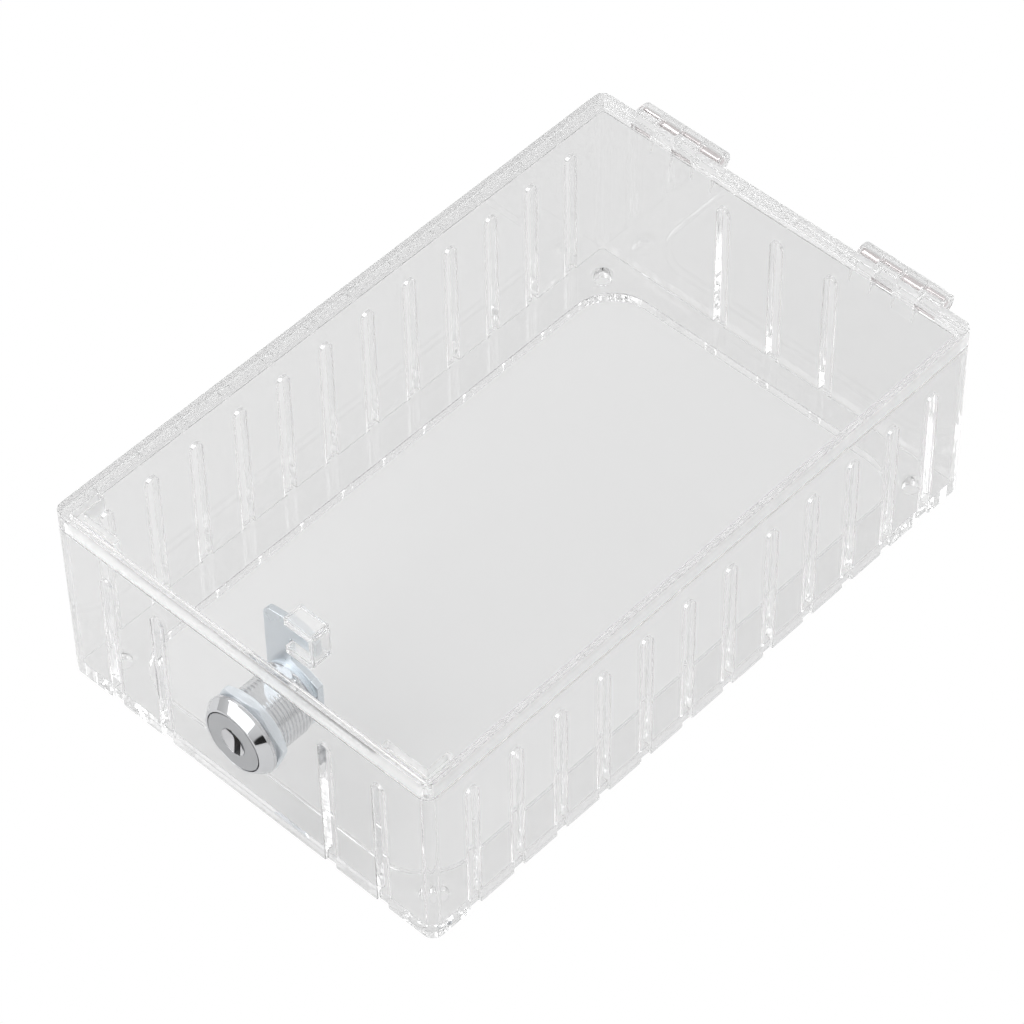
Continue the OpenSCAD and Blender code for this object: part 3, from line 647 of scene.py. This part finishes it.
# %% Cam washer
WASHER_IN, WASHER_OUT = 2.1, 5.18
washer_low, washer_high = span("cam_washer")
washer_profile = [(WASHER_IN, WALL_FACE - washer_high[1]), (WASHER_OUT, WALL_FACE - washer_high[1]),
                  (WASHER_OUT, WALL_FACE - washer_low[1]), (WASHER_IN, WALL_FACE - washer_low[1])]
flat_washer = grid_piece("flat_washer", turned_grid(soften(washer_profile, 0.12), 72), zinc_nut, "plug",
                         rows_close=True)
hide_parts("cam_washer")

# %% [markdown]
# ## Hinge pins
# Two pins of drawn steel wire, cut and barrelled so that their ends are round. The profile runs from the
# middle of one end to the middle of the other, and its first and last rows shrink to a point.

# %% Hinge pins
# The rounding takes up the last PIN_EASE of each end and leaves a flat of PIN_FLAT times the radius.
PIN_EASE, PIN_FLAT = 0.35, 0.55


def hinge_pin(name, node):
    """A pin along X: radius r at each station x, from one end to the other. A quarter ellipse eases
    each end."""
    low, high = span(node)
    ease = np.linspace(0, np.pi / 2, 6)
    inward = PIN_EASE * (1 - np.cos(ease))
    swell = (high[2] - low[2]) / 2 * (PIN_FLAT + (1 - PIN_FLAT) * np.sin(ease))
    stations = np.concatenate([low[0] + inward, high[0] - inward[::-1]])
    radii = np.concatenate([swell, swell[::-1]])
    stations = np.concatenate([[low[0]], stations, [high[0]]])[:, None]
    radii = np.concatenate([[0], radii, [0]])[:, None]
    angle = np.linspace(0, 2 * np.pi, 32, endpoint=False)[None, :]
    centre = (low + high) / 2
    across, up = radii * np.cos(angle), radii * np.sin(angle)
    grid = np.stack([stations + 0 * angle, centre[1] + across, centre[2] + up], axis=-1)
    pin = grid_piece(name, grid * MM, pin_steel, "box")
    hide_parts(node)


for side in ("left", "right"):
    hinge_pin("pin_" + side, "hinge_pin_" + side)

# %% [markdown]
# ## Wafer springs
# Each wafer is pushed out by a coil of steel wire thinner than a needle. A coil is a circle, the wire's
# section, carried along a helix: rows go along the helix and columns round the wire.

# %% Wafer springs
SPRING_R, WIRE_R, SPRING_TURNS = 0.6, 0.13, 6
WAFER_FIRST, WAFER_PITCH, WAFER_T, WAFER_HALF, WAFER_GAP = 1.2, 2.0, 1.0, 3.0, 0.06
POCKET_R, POCKET_GAP, POCKET_SIDE, SPRING_SHORT = 6.1, 0.1, 0.3, 0.6
SPRING_X = WAFER_HALF + WAFER_GAP + SPRING_R + POCKET_SIDE
SPRING_L = float(np.sqrt(POCKET_R ** 2 - (SPRING_X + SPRING_R + POCKET_GAP) ** 2)) - SPRING_SHORT


def coil(name, depth):
    """A wire helix: centre (R cos t, R sin t, rise t), and the section circle turns in the plane of the
    helix's own outward direction and its axis. Both ends shrink to a point."""
    t = np.linspace(0, 2 * np.pi * SPRING_TURNS, 24 * SPRING_TURNS)[:, None]
    around = np.linspace(0, 2 * np.pi, 8, endpoint=False)[None, :]
    thick = np.full_like(t, WIRE_R)
    thick[0] = thick[-1] = 0
    radius = (SPRING_R - WIRE_R) + thick * np.cos(around)
    rise = WIRE_R + (SPRING_L - 2 * WIRE_R) * t / t[-1] + thick * np.sin(around)
    key_x, key_up, key_out = SPRING_X + radius * np.cos(t), -SPRING_L + rise, depth + radius * np.sin(t)
    x = key_x * np.cos(KEY_TILT) - key_up * np.sin(KEY_TILT)
    up = key_x * np.sin(KEY_TILT) + key_up * np.cos(KEY_TILT)
    return grid_piece(name, lock_place(x, up, key_out), spring_steel, "plug", smooth_angle=80)


for number in range(5):
    spring = coil(f"coil_{number + 1}", -WAFER_FIRST - number * WAFER_PITCH - WAFER_T / 2)
    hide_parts(f"spring_{number + 1}")

# %% [markdown]
# ## Flat parts that stay
# The brass wafers and the stop washer are flat blanks with square edges, hidden in the lock. The design
# model's own meshes show them well, so they only get their materials.

# %% Flat parts
flat_parts = {f"wafer_{number}": brass for number in range(1, 6)} | {"stop_washer": zinc_nut}
for name, material in flat_parts.items():
    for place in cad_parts[name].material_slots:
        place.material = material
print("flat parts:", ", ".join(flat_parts))
